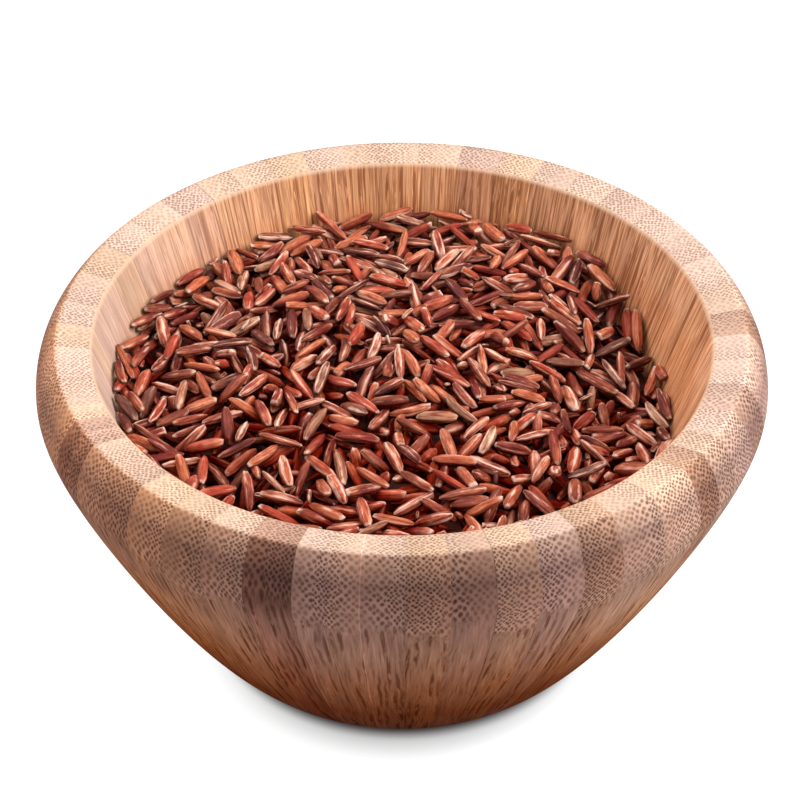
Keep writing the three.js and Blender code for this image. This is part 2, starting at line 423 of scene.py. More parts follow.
def bowl_profile(s):
    """Radius and height, mm, of the bowl's section, from the foot's middle round to the floor's.

    A flat foot, a Bezier curve for the outside, an arc for the shoulder, the rim's face, and a
    straight wall that runs into a Bezier curve for the floor.
    """
    radius, height = s.radius / MM, s.height / MM
    foot, widest = s.foot_radius / MM, s.widest_height / MM
    shoulder, inner = s.shoulder_radius / MM, s.rim_inner_radius / MM
    inner_height = height - s.rim_fall / MM
    wall_foot, floor = s.wall_foot_height / MM, s.floor_height / MM
    side = bezier(
        [(foot, 0), (foot + FOOT_FLARE[0], FOOT_FLARE[1]), (radius, widest - UPRIGHT_REACH),
         (radius, widest)], CURVE_STEPS,
    )
    angle = np.linspace(0, math.asin((height - widest) / shoulder), ARC_STEPS)
    arc = np.stack(
        [radius - shoulder + shoulder * np.cos(angle), widest + shoulder * np.sin(angle)], 1
    )
    bevel = (inner - s.wall_slope * RIM_BEVEL, inner_height - RIM_BEVEL)
    top = (inner - s.wall_slope * (inner_height - wall_foot), wall_foot)
    cavity = bezier(
        [top, (top[0] - s.wall_slope * WALL_FOOT_REACH, wall_foot - WALL_FOOT_REACH),
         (foot, floor), (0, floor)], CURVE_STEPS,
    )
    rim = [(inner + RIM_BEVEL, inner_height), bevel]
    return np.concatenate([[(0, 0)], side, arc, rim, cavity])


def smooth_rings(profile):
    """The profile with eased corners, as rings that lie closer together where it turns.

    The points are spaced evenly, averaged over a short window, and picked at even steps of
    distance / RING_SPACING + turn / RING_TURN.
    """
    along = np.r_[0, np.cumsum(np.hypot(*np.diff(profile, axis=0).T))]
    even = np.arange(0, along[-1], PROFILE_STEP)
    dense = np.stack([np.interp(even, along, profile[:, k]) for k in (0, 1)], 1)
    half = int(EDGE_ROUNDING / PROFILE_STEP / 2)
    window = np.full(2 * half + 1, 1 / (2 * half + 1))
    for k in (0, 1):
        padded = np.pad(dense[:, k], half, mode="reflect", reflect_type="odd")
        dense[:, k] = np.convolve(padded, window, mode="valid")
    steps = np.diff(dense, axis=0)
    heading = np.unwrap(np.arctan2(steps[:, 1], steps[:, 0]))
    turn = np.abs(np.diff(heading, prepend=heading[0]))
    pace = np.r_[0, np.cumsum(np.hypot(*steps.T) / RING_SPACING + turn / RING_TURN)]
    picked = np.linspace(0, pace[-1], int(pace[-1]) + 1)
    return np.stack([np.interp(picked, pace, dense[:, k]) for k in (0, 1)], 1)


CUT_HEIGHTS = (44.5, 55.5)  # the outer wall shows long grain below these and end grain above
CUT_UNEVENNESS = 0.9  # by how much they differ from stave to stave, mm
LONG_GRAIN = 0.05  # how much the long grain of the walls is still cut across
RIM_WIDTH = 5.2  # from the rim's outer edge to its inner one, mm
RIM_FADE = 0.8  # over which the shoulder's colour turns into the rim's, mm
RIM_EDGE = 0.7  # how far that turn has come at the top of the rim
STAVE_SHIFT = 37.0  # mm between the patches of pattern that neighbouring staves show
STAVE_DRIFT = 900  # mm, most random shift of a stave's pattern along it


def fibre_depth(rings, shifts):
    """How far each ring lies across each stave's fibres, mm, how squarely it cuts them, and more.

    The fibres run up the staves, along both walls. The cut is the sine of the angle between the
    surface and the fibres, and the distance across them adds up cut * distance along the profile.
    The last two are whether the ring is outside or on the rim, and how far along it lies.
    """
    height = rings[:, 1]
    gaps = np.hypot(*np.diff(rings, axis=0, prepend=rings[:1]).T)
    along = np.cumsum(gaps)
    wall = along < along[np.argmax(height)] + RIM_WIDTH
    low, high = CUT_HEIGHTS
    step = np.clip((height - low - shifts[:, None]) / (high - low), 0, 1)
    cut = LONG_GRAIN + (1 - LONG_GRAIN) * step**2 * (3 - 2 * step) * wall
    return np.cumsum(cut * gaps, 1), cut, wall, along


def bowl_mesh(settings, finish):
    """The turned bowl: (r cos a, r sin a, z), with its columns lined up with the staves."""
    rings = smooth_rings(bowl_profile(settings))
    starts = np.radians([block[0] for block in STAVE_BLOCKS])
    ends = np.r_[starts[1:], starts[0] + 2 * math.pi]
    edges, tones, left_seam, short = [], [], [], []
    for start, end, (_, block, seam, stops) in zip(starts, ends, STAVE_BLOCKS):
        edges += list(np.linspace(start, end, len(block) + 1)[:-1])
        tones += list(block)
        left_seam += [seam] + [0.0] * (len(block) - 1)
        short += [stops] * len(block)
    edges = np.array(edges)
    staves = len(edges)
    widths = np.diff(np.r_[edges, edges[0] + 2 * math.pi])
    share = np.arange(STAVE_COLUMNS) / STAVE_COLUMNS
    angles = (edges[:, None] + widths[:, None] * share).ravel()
    inner = rings[1:-1]
    vertices = np.stack(
        [inner[:, :1] * np.cos(angles), inner[:, :1] * np.sin(angles),
         np.repeat(inner[:, 1:], len(angles), 1)], 2,
    ).reshape(-1, 3)
    poles = [[0, 0, rings[0, 1]], [0, 0, rings[-1, 1]]]
    vertices = np.concatenate([poles[:1], vertices, poles[1:]])
    columns = len(angles)
    faces = turned_faces(len(inner), columns)
    piece = new_piece("bamboo_bowl_turned", vertices, faces, finish, "bamboo_bowl")

    rng = np.random.default_rng(bpy.context.scene.rice_bowl_rice.seed)
    shifts = np.array(short) + rng.normal(0, CUT_UNEVENNESS, staves)
    depth, cut, wall, along = fibre_depth(rings, shifts)
    corner_vertex = np.concatenate([np.ravel(face) for face in faces])
    ring_of = np.concatenate([[0], np.repeat(np.arange(1, len(rings) - 1), columns), [len(rings) - 1]])
    ring = ring_of[corner_vertex]
    face_column = np.concatenate(
        [np.repeat(np.arange(columns), 3), np.tile(np.repeat(np.arange(columns), 4), len(inner) - 1),
         np.repeat(np.arange(columns), 3)]
    )
    stave = face_column // STAVE_COLUMNS
    side = face_column % STAVE_COLUMNS
    vertex_column = (corner_vertex - 1) % columns
    pole = (corner_vertex == 0) | (corner_vertex == len(vertices) - 1)
    right = (vertex_column != face_column) & ~pole
    q = (side + np.where(pole, 0.5, right)) / STAVE_COLUMNS
    radius = rings[ring, 0]
    offset = (q - 0.5) * widths[stave]
    drift = rng.uniform(0, STAVE_DRIFT, staves)
    u = radius * np.sin(offset) + STAVE_SHIFT * stave
    add_uv(piece.data, "fibre", np.stack([u, depth[stave, ring] + drift[stave]], 1))
    width = radius * widths[stave]
    add_values(piece.data, "across", "CORNER", np.stack([q * width, (1 - q) * width, q], 1))
    tones = np.array(tones)
    own = np.stack([tones, rng.uniform(0, 1, staves), rng.uniform(0, 1, staves)], 1)
    add_values(piece.data, "stave", "CORNER", own[stave])
    seams = np.stack([left_seam, np.roll(left_seam, -1), rng.uniform(0, 1, staves)], 1)
    add_values(piece.data, "seams", "CORNER", seams[stave])
    inside = np.where(wall, 0.0, 1.0)
    past_edge = along - along[np.argmax(rings[:, 1])]
    rim = np.clip(past_edge / RIM_FADE + RIM_EDGE, 0, 1) * (1 - inside)
    add_values(piece.data, "place", "CORNER", np.stack([cut[stave, ring], rim[ring], inside[ring]], 1))
    return piece


# The fibre pattern. Noise scales are per mm across and along the fibres, or per m for the bowl.
DRIFT = (0.4, (0.7, 0.9, 0))  # how rows of fibre bundles wander: noise scale, and reach in mm
SWAY = (130.0, (0.9, 0, 0))  # how drawn-out bundles sway
SWAY_CUT = (0.7, 0.2)  # as the cut through them gets this flat
COARSE_BUNDLES = (0.86, 0.36)  # pitch in mm, and unevenness
FINE_BUNDLES = (0.62, 0.4)
PATCHES = 0.22
BLOTCHES = 70.0
BROAD = ((0.8, 0.5), 3.0, 0.6)  # noise scales across and along, detail and roughness
STREAKS = ((2.4, 2.4), 3.0, 0.6)
HAIRS = ((6.0, 3.0), 2.0, 0.6)
BREAKS = ((1.3, 4.5), 2.0, 0.6)
COMB_LINES = ((2.3, 0.9), 2.0, 0.65)
COMB_PATCHES = ((0.5, 0.1), 2.0, 0.5)

# Between which values of what it is made from each mask goes from 0 to 1.
END_GRAIN = (0.14, 0.42)
COARSE_LEFT = (0.32, 0.34)
COARSE = (0.66, 0.58)
CRISP = (0.05, 0.75)
DOT = (0.42, 0.16)
NET = (0.36, 0.54)
LINE = (0.5, 0.24)
LINE_OWN = (0.15, 0.7)
UNBROKEN = (0.36, 0.52)
BOLD = (0.2, 0.62)
COMB = (0.47, 0.60)
COMB_PATCH = (0.25, 0.55)
VEIN = (0.52, 0.66)
GLEAM = (0.46, 0.34)
PALE = (0.05, 0.85)
SEAM = (0.17, 0.05)  # mm from a stave's edge
BROWNED = (0.45, 1.0)
BROWNED_MORE = 0.3

# How much each cause counts, as a swing or a share.
RAGGED_CUT = 0.5
COARSE_BY = (0.5, 0.9, 0.4)  # patch, the stave's grade, rim
CRISP_BY = (0.8, 1.1, 0.5, 0.3)  # richness, patch, grade, tone
BOLD_BY = (0.7, 0.4)  # broad noise, grade
MEAN_TONE = 0.42
TONE_DEPTH = (0.25, 0.6, 0.42)  # below the shoulder, added there, and taken off rim and inside
RICH_SHADE = 0.2
BLOTCH_SHADE = (0.88, 0.24)
BROAD_SHADE = (0.5, 0.2)  # on long grain, and everywhere
HAIR_SHADE = (0.4, 0.25)
SEAM_SHADE = (0.16, 0.42)
LEAST_OWN, LEAST_NET, LEAST_SPOTS = 0.6, 0.25, 0.45
VEIN_SHARE = 0.6
RIM_NET = 0.5  # what the rim takes off the net
PALE_GRAIN = 0.7  # painted light: what the lit, pale side takes off the streaks

# What a mask multiplies the ground's colour by.
BROWN_TINT = (1.0, 0.75, 0.62)
NET_TINT = (1.5, 1.6, 1.7)
RIM_DOT_TINT = (0.52, 0.36, 0.30)
STREAK_TINT = (0.45, 0.31, 0.24)
GLEAM_TINT = (1.22, 1.28, 1.34)
PINK_STAVE, YELLOW_STAVE = (1.0, 0.98, 1.01), (1.01, 0.96, 0.83)
# painted shade on the inner wall just above the rice
RICE_SHADE_TINT = (0.93, 0.80, 0.70)
LEFT_SIDE_SHADE = (1.0, 0.84, 0.62)  # painted shade: the outer wall on the left, warmer and darker
RIGHT_SIDE_LIGHT = (1.12, 1.28, 1.28)  # painted light: and on the right, paler and lighter, where the key light falls

# Places in the bowl, m. Each pair is where something fades in.
WALL_SPAN = 0.06  # height that the outer wall's colours run over
LIT_PALE_SIDE = (-0.98, -0.17, 0)  # painted light: the inner wall is paler on this side, which faces the key light
SHOULDER = (0.044, 0.055)
ASIDE = (0.012, 0.046)  # left or right of the middle
RIGHT_HALF = (-0.004, 0.004)
BAND = (0.047, 0.057)
BAND_SIDE_LIGHT = (0.42, 0.25)  # painted light: how much lighter the band is aside, and more on the right
# the painted shade on the inner wall fades in between these heights, above the rice
RICE_SHADE_BAND = (0.0545, 0.0495)
SHADE_FREE_SIDE = (1.0, 0.75)  # how pale the wall is where no painted shade shows
PALE_EDGE = (0.0582, 0.0589)
PALE_EDGE_COLOUR, PALE_EDGE_SHARE = (0.56, 0.37, 0.25), 0.7
BARE_WALL = (0.052, 0.036)

# Relief and gloss.
RELIEF = (0.2, 0.8, 0.5)  # net up, spots down, seams and streaks down
RELIEF_DEPTH = 0.00006
GLOSS = (0.52, 0.1, 0.06)  # roughness, and what spots and streaks add
WOOD_SPECULAR = 0.2
BARE_ROUGHNESS = 0.8


def bamboo_finish(s):
    """Glued bamboo: fibre bundles as dots on end grain, drawn out to streaks on long grain."""
    f = Finish("oiled_bamboo")
    fibre = f.uv("fibre")
    left, right, q = f.parts(f.attribute("across"))
    tone, warmth, grade = f.parts(f.attribute("stave"))
    left_seam, right_seam, slant = f.parts(f.attribute("seams"))
    cut, rim, inside = f.parts(f.attribute("place"))
    place = f.node("TexCoord", output="Object")
    x, _, z = f.parts(place)
    flat = f.math("MAXIMUM", rim, inside)

    # where a stave is cut across, and its coarse side
    loose = f.vector("ADD", fibre, f.wander(fibre, *DRIFT))
    wavy = f.vector("ADD", loose, f.scale(f.wander(place, *SWAY), f.ramp(cut, *SWAY_CUT)))
    patch = f.noise(fibre, PATCHES)
    broad = f.drawn_noise(fibre, *BROAD)
    end_grain = f.ramp(cut + f.swing(broad, RAGGED_CUT) * (1 - cut), *END_GRAIN)
    long_grain = 1 - end_grain
    coarse_left = f.ramp(slant, *COARSE_LEFT)
    rich = q * coarse_left + (1 - q) * (1 - coarse_left)

    # end grain: dots and the net between them
    by_patch, by_grade, by_rim = COARSE_BY
    coarse = rich + f.swing(patch, by_patch) + f.swing(grade, by_grade) + rim * by_rim
    coarse = f.ramp(coarse, *COARSE)
    near, near_own = f.cells(wavy, *COARSE_BUNDLES)
    far, far_own = f.cells(loose, *FINE_BUNDLES)
    away = near * coarse + far * (1 - coarse)
    own = near_own * coarse + far_own * (1 - coarse)
    by_rich, by_patch, by_grade, by_tone = CRISP_BY
    crisp = rich * by_rich + f.swing(patch, by_patch) + f.swing(grade, by_grade) + tone * by_tone
    crisp = f.ramp(crisp, *CRISP)
    dot = f.ramp(away, *DOT) * f.least(own, LEAST_OWN)
    net = f.ramp(away, *NET)
    spots = dot * f.least(crisp, LEAST_SPOTS) * end_grain
    mesh = net * f.least(crisp, LEAST_NET) * end_grain * (1 - rim * RIM_NET)

    # long grain: broken lines, veins and gleams, and a comb of fine lines on the inner wall
    unbroken = f.ramp(f.drawn_noise(wavy, *BREAKS), *UNBROKEN)
    line = f.ramp(near, *LINE) * f.ramp(near_own, *LINE_OWN) * unbroken
    bold = f.ramp(broad * BOLD_BY[0] + grade * BOLD_BY[1], *BOLD)
    comb = f.ramp(f.drawn_noise(loose, *COMB_LINES), *COMB)
    comb = comb * f.ramp(f.drawn_noise(fibre, *COMB_PATCHES), *COMB_PATCH)
    streak = f.drawn_noise(wavy, *STREAKS)
    vein = f.ramp(streak, *VEIN)
    # painted light: the inner wall paler, with fainter streaks, on the side that faces the key light
    pale = f.vector("DOT_PRODUCT", f.vector("NORMALIZE", place, (0, 0, 0)), LIT_PALE_SIDE, "Value")
    pale = f.ramp(pale, *PALE) * inside
    grain = long_grain * (1 - pale * PALE_GRAIN)
    lines = f.math("MAXIMUM", line * bold, comb * inside)
    drawn = f.math("MAXIMUM", vein * VEIN_SHARE, lines) * grain
    gleam = f.ramp(streak, *GLEAM) * grain

    # the ground, and its shade by stave, patch, hair and seam
    stops = [(height * MM / WALL_SPAN, tint) for height, tint in zone_colours(s)]
    outside = f.mix(rim, f.steps(z / WALL_SPAN, stops), s.end_colour)
    ground = f.mix(inside, outside, f.mix(pale, s.inside_colour, s.lit_side_colour))
    low, rise, off = TONE_DEPTH
    depth = low + f.ramp(z, *SHOULDER) * rise - flat * off
    shade = 1 + (MEAN_TONE - tone) * depth + (0.5 - rich) * RICH_SHADE
    blotch = BLOTCH_SHADE[0] + f.noise(place, BLOTCHES) * BLOTCH_SHADE[1]
    shade = shade * blotch * (1 + (broad - 0.5) * (long_grain * BROAD_SHADE[0] + BROAD_SHADE[1]))
    hair = f.drawn_noise(fibre, *HAIRS) - 0.5
    shade = shade * (1 + hair * (HAIR_SHADE[1] + long_grain * HAIR_SHADE[0]))
    seam = f.ramp(left, *SEAM) * left_seam + f.ramp(right, *SEAM) * right_seam
    shade = shade * (1 - seam * (SEAM_SHADE[1] + long_grain * SEAM_SHADE[0]))

    body = f.scale(ground, shade)
    body = f.tint(f.ramp(tone, *BROWNED) * (depth + BROWNED_MORE), body, BROWN_TINT)
    body = f.tint(mesh, body, NET_TINT)
    body = f.tint(spots, body, f.mix(rim, s.bundle_tint, RIM_DOT_TINT))
    body = f.tint(drawn, body, STREAK_TINT)
    body = f.tint(gleam, body, GLEAM_TINT)
    body = f.vector("MULTIPLY", body, f.mix(warmth, PINK_STAVE, YELLOW_STAVE))
    # painted light and shade: the outer wall paler and lighter towards its right, where the key light
    # falls, warmer and darker towards its left, and the band lighter at both sides
    aside = f.ramp(f.math("ABSOLUTE", x), *ASIDE) * (1 - flat)
    lit_right = f.ramp(x, *RIGHT_HALF)
    body = f.tint(aside, body, f.mix(lit_right, LEFT_SIDE_SHADE, RIGHT_SIDE_LIGHT))
    body = f.scale(body, 1 + aside * f.ramp(z, *BAND) * (BAND_SIDE_LIGHT[0] + lit_right * BAND_SIDE_LIGHT[1]))
    # painted shade: the inner wall darker and redder just above the rice, where the grains shade it
    # and cast red light on it
    rice_shade = f.ramp(z, *RICE_SHADE_BAND) * inside * f.ramp(pale, *SHADE_FREE_SIDE)
    body = f.tint(rice_shade, body, RICE_SHADE_TINT)
    pale_edge = f.ramp(z, *PALE_EDGE) * inside * PALE_EDGE_SHARE
    body = f.mix(pale_edge, body, PALE_EDGE_COLOUR)

    up, down, cut_in = RELIEF
    relief = f.bump(net * up - spots * down - seam * cut_in - drawn * cut_in, RELIEF_DEPTH)
    wood = {"Base_Color": body, "Normal": relief}
    return f.surface(
        bare=f.shader(Roughness=BARE_ROUGHNESS, Specular_IOR_Level=0.0, **wood),
        share=f.ramp(z, *BARE_WALL) * (1 - flat),
        Roughness=GLOSS[0] + spots * GLOSS[1] + drawn * GLOSS[2],
        Specular_IOR_Level=WOOD_SPECULAR, **wood,
    )


def zone_colours(s):
    """The outer wall's colours by height in mm, from the foot to the rim, with painted shade: darker
    towards the foot and round the shoulder's band.
    """
    return (
        (4, s.foot_shade_colour), (14, s.low_colour), (26, s.side_colour), (38, s.upper_colour),
        (48, s.bulge_colour), (56, s.band_grain_and_shade), (60, s.shoulder_colour),
    )


# ---------------------------------------------------------------- the heap

HEAP_LUMPS = (7.0, 8.0)  # the swell's waves: mm a radian in x and y
HEAP_PHASE = 1.0  # radians, in x
HEAP_SLANT = (13.0, 11.0)  # and those of its longer, slanting waves
HOLLOW_AT = (43.0, 2.0)  # mm
HOLLOW_SPREAD = (17.0, 16.0)  # mm
CORE_GAP = 0.25  # between the core and the bowl's wall


def wall_radius(height):
    """Radius of the bowl's straight inner wall at a height, mm."""
    s = bpy.context.scene.rice_bowl_bowl
    top = (s.height - s.rim_fall) / MM
    return s.rim_inner_radius / MM - s.wall_slope * (top - height)


def heap_height(x, y, s):
    """Height of the grains' tops, mm: edge + dome * (1 - (r / R)^2) + swell - hollow."""
    edge = s.edge_height / MM
    share = np.hypot(x, y) / wall_radius(edge)
    lump = np.sin(x / HEAP_LUMPS[0] + HEAP_PHASE) * np.cos(y / HEAP_LUMPS[1])
    slant = np.sin(y / HEAP_SLANT[1] - x / HEAP_SLANT[0])
    across = (x - HOLLOW_AT[0]) / HOLLOW_SPREAD[0]
    along = (y - HOLLOW_AT[1]) / HOLLOW_SPREAD[1]
    hollow = s.hollow_depth / MM * np.exp(-(across**2 + along**2) / 2)
    return edge + s.dome_rise / MM * (1 - share**2) + s.swell / MM * (lump + slant) - hollow


GRID_STEP = 0.2  # of the height map, mm
GRID_HALF = 50.0  # it reaches this far each way, mm
CANDIDATES = 36  # random places that each grain tries
AT_WALL = 5  # of these lie along the wall
OFF_WALL = (0.7, 2.2)  # this many half widths from it
WALL_TURN = 0.35  # and turned from it by a random angle of this spread, radians
MISSES = 24  # grains in a row that find no place, before the heap is full
NO_PLACE = 1e3  # stands for a height that rules a place out, mm
# Where a grain may touch the ground, as shares of its half length and of its half width.
ALONG = np.array([-1.0, -0.85, -0.6, -0.35, -0.12, 0.12, 0.35, 0.6, 0.85, 1.0]) * 0.96
ACROSS = np.array([-0.62, 0.0, 0.62])
STEEPEST = math.tan(math.radians(46))  # most slope of a grain
END_STAND = 2.0  # how far a grain's end may stand above the heap's surface, mm
LAY_UNREST = 0.4  # how far from the lowest place a grain may be laid, mm
EDGE_BANK = 2.0  # the grains are banked up at the wall, where they fit less closely, mm
EDGE_BAND = 0.16  # over this share of the radius
BROKEN_SHARE = 0.07
SPLINTER_SHARE = 0.06
WHOLE, BROKEN, SPLINTER = 0, 1, 2
GIRTH_SPREAD, GIRTH_RANGE = 0.11, (0.74, 1.26)  # how grains differ, as shares of their size
LENGTH_SPREAD, THICKNESS_SPREAD = 0.07, 0.07
SPLINTER_LENGTH, SPLINTER_WIDTH, SPLINTER_THICKNESS = (0.16, 0.42), (0.3, 0.6), 0.35
BROKEN_LENGTH = (0.4, 0.72)


def grain_girth(t):
    """Half width of a grain at a share t of its half length.

    (1 - |t|^3)^0.55 towards the pointed end, at -1, and (1 - t^4)^0.5 towards the germ, at +1.
    """
    size = np.clip(np.abs(t), 0, 1)
    return np.where(t < 0, (1 - size**3.0) ** 0.55, (1 - size**4.0) ** 0.5)


def grain_sizes(s, rng):
    """Half length, half width and half thickness of one grain, mm, and whether it is broken."""
    draw = rng.uniform()
    spread = np.clip(rng.normal(1.0, GIRTH_SPREAD), *GIRTH_RANGE)
    half = s.grain_length / MM / 2 * rng.normal(1.0, LENGTH_SPREAD)
    wide = s.grain_width / MM / 2 * spread
    thick = s.grain_thickness / MM / 2 * spread * rng.normal(1.0, THICKNESS_SPREAD)
    if draw < SPLINTER_SHARE:
        half, wide = half * rng.uniform(*SPLINTER_LENGTH), wide * rng.uniform(*SPLINTER_WIDTH)
        return half, wide, thick * SPLINTER_THICKNESS, SPLINTER
    if draw < SPLINTER_SHARE + BROKEN_SHARE:
        return half * rng.uniform(*BROKEN_LENGTH), wide, thick, BROKEN
    return half, wide, thick, WHOLE


def grid_index(place):
    """Index in the height map of a place in x or in y, mm."""
    index = np.rint((place + GRID_HALF) / GRID_STEP).astype(int)
    return np.clip(index, 0, round(2 * GRID_HALF / GRID_STEP))


def rest_on(need, half):
    """Centre height and slope of a bar on ground that needs the given heights along it.

    Each row is one place, with a column for each of ALONG. Every pair of points, one before the
    middle and one past it, gives a line, and the bar rests on the one that is highest in the
    middle: centre = (a * td - d * ta) / (td - ta), with a at ta and d at td.
    """
    before, after = ALONG[ALONG < 0], ALONG[ALONG > 0]
    a, d = need[:, :len(before), None], need[:, None, len(before):]
    ta, td = (before * half)[:, None], (after * half)[None, :]
    centre = ((a * td - d * ta) / (td - ta)).reshape(len(need), -1)
    slope = ((d - a) / (td - ta)).reshape(len(need), -1)
    chosen = np.arange(len(need)), centre.argmax(1)
    return centre[chosen], slope[chosen]


def lay_grains(s):
    """Grains laid one by one on what lies below, up to the heap's surface.

    A height map holds the ground. Each grain tries several random places, a few of them along
    the wall. In each it rests as a rigid bar would, at the height centre + slope * t. Of the
    places below the heap's surface the deepest is taken, after a random height has been added to
    each, and the grain's top goes on the map.
    """
    rng = np.random.default_rng(s.seed)
    axis = np.arange(-GRID_HALF, GRID_HALF + GRID_STEP / 2, GRID_STEP)
    gx, gy = np.meshgrid(axis, axis, indexing="ij")
    b = bpy.context.scene.rice_bowl_bowl
    reach = wall_radius(s.edge_height / MM)
    wall = (b.height - b.rim_fall) / MM - (b.rim_inner_radius / MM - np.hypot(gx, gy)) / b.wall_slope
    near_wall = np.clip((np.hypot(gx, gy) / reach - 1 + EDGE_BAND) / EDGE_BAND, 0, 1)
    target = heap_height(gx, gy, s) + EDGE_BANK * near_wall**2 * (3 - 2 * near_wall)
    ground = np.maximum(target - s.layer_depth / MM, wall)
    size = len(axis)
    girth = grain_girth(ALONG)
    grains = []
    misses = 0
    while len(grains) < s.grains and misses < MISSES:
        half, wide, thick, kind = grain_sizes(s, rng)
        spot = reach * np.sqrt(rng.uniform(0, 1, CANDIDATES))
        bearing = rng.uniform(0, 2 * math.pi, CANDIDATES)
        turn = rng.uniform(0, 2 * math.pi, CANDIDATES)
        spot[:AT_WALL] = reach - wide * rng.uniform(*OFF_WALL, AT_WALL)
        turn[:AT_WALL] = bearing[:AT_WALL] + math.pi / 2 + rng.normal(0, WALL_TURN, AT_WALL)
        cx, cy = spot * np.cos(bearing), spot * np.sin(bearing)
        c, k = np.cos(turn), np.sin(turn)
        t = ALONG * half
        px = cx[:, None, None] + t[:, None] * c[:, None, None] - ACROSS * wide * k[:, None, None]
        py = cy[:, None, None] + t[:, None] * k[:, None, None] + ACROSS * wide * c[:, None, None]
        lower = np.sqrt(np.clip(girth[:, None] ** 2 - ACROSS**2, 0, None)) * thick
        need = (ground[grid_index(px), grid_index(py)] + lower).max(2)
        rest, slope = rest_on(need, half)
        ic, jc = grid_index(cx), grid_index(cy)
        excess = rest + thick - target[ic, jc]
        ends = rest + np.abs(slope) * half - target[ic, jc]
        excess = np.where((np.abs(slope) > STEEPEST) | (ends > END_STAND), NO_PLACE, excess)
        restless = excess + rng.normal(0, LAY_UNREST, CANDIDATES)
        pick = np.where(excess > 0, NO_PLACE, restless).argmin()
        if excess[pick] > 0:
            misses += 1
            continue
        misses = 0
        grains.append((cx[pick], cy[pick], rest[pick], turn[pick], math.atan(slope[pick]), half,
                       wide, thick, kind))
        span = int(half / GRID_STEP) + 2
        i0, i1 = max(ic[pick] - span, 0), min(ic[pick] + span + 1, size)
        j0, j1 = max(jc[pick] - span, 0), min(jc[pick] + span + 1, size)
        dx, dy = gx[i0:i1, j0:j1] - cx[pick], gy[i0:i1, j0:j1] - cy[pick]
        along = dx * c[pick] + dy * k[pick]
        beside = dy * c[pick] - dx * k[pick]
        room = grain_girth(np.clip(along / half, -1, 1)) ** 2 - (beside / wide) ** 2
        top = rest[pick] + slope[pick] * along + thick * np.sqrt(np.clip(room, 0, None))
        patch = ground[i0:i1, j0:j1]
        np.maximum(patch, np.where(room > 0, top, -NO_PLACE), out=patch)
    return np.array(grains)


GRAIN_SIDES = 10
GRAIN_RINGS = np.array([-0.93, -0.6, 0.0, 0.62, 0.93])  # shares of the half length
RIDGE_DEPTH = 0.11  # share by which every other side is pushed in
BROKEN_END, BROKEN_GIRTHS = 0.98, (0.93, 0.8)  # the last ring of a broken grain
POINT_OFFSET, GERM_OFFSET = -0.08, (0.3, 0.1)  # how far the two ends lie off the axis
ROLL_SPREAD, BEND_SPREAD = 0.5, 0.05  # of the roll, radians, and of the bend, share of the length
SHADE_DEPTH = 3.0  # how far below the heap's surface the painted shade turns darkest, mm
LIT_FROM = (-14.0, 14.0)  # between these y, mm, the painted shade in the gaps is lighter
LIT_SHARE = 0.45  # up to this much


def unit_grain(blunt):
    """A grain of half length 1: ridged rings between two ends. A blunt one is broken off.

    A ring is (t, -g sin a, -g cos a) with g the girth at t, and every other side is pushed in.
    The germ end, at +1, is drawn to one side.
    """
    rings = GRAIN_RINGS.copy()
    girth = grain_girth(rings)
    if blunt:
        rings[-1] = BROKEN_END
        girth[-2:] = BROKEN_GIRTHS
    angle = 2 * math.pi * np.arange(GRAIN_SIDES) / GRAIN_SIDES
    ridge = 1 - RIDGE_DEPTH * (np.arange(GRAIN_SIDES) % 2)
    ring = np.stack(
        [np.repeat(rings[:, None], GRAIN_SIDES, 1), -girth[:, None] * ridge * np.sin(angle),
         -girth[:, None] * ridge * np.cos(angle)], 2,
    ).reshape(-1, 3)
    aside, above = GERM_OFFSET
    point, germ = [[-1, POINT_OFFSET, 0]], [[1.0, 0.0 if blunt else aside, above]]
    vertices = np.concatenate([point, ring, germ])
    return vertices, turned_faces(len(rings), GRAIN_SIDES)


def grain_corner_uv(vertices, faces):
    """Round and along each grain, 0 to 1, one row for each corner. Round starts underneath."""
    rows = []
    for face in faces:
        column = [(v - 1) % GRAIN_SIDES if 0 < v < len(vertices) - 1 else None for v in face]
        known = [c for c in column if c is not None]
        wraps = max(known) - min(known) > 1
        for v, c in zip(face, column):
            c = min(known) + 0.5 if c is None else c
            if wraps and c < 1:
                c += GRAIN_SIDES
            rows.append((c / GRAIN_SIDES, (vertices[v][0] + 1) / 2))
    return np.array(rows)


def swung(a, b, angle):
    """Two coordinates turned by each grain's angle: a cos - b sin and a sin + b cos."""
    c, k = np.cos(angle)[:, None], np.sin(angle)[:, None]
    return a * c - b * k, a * k + b * c


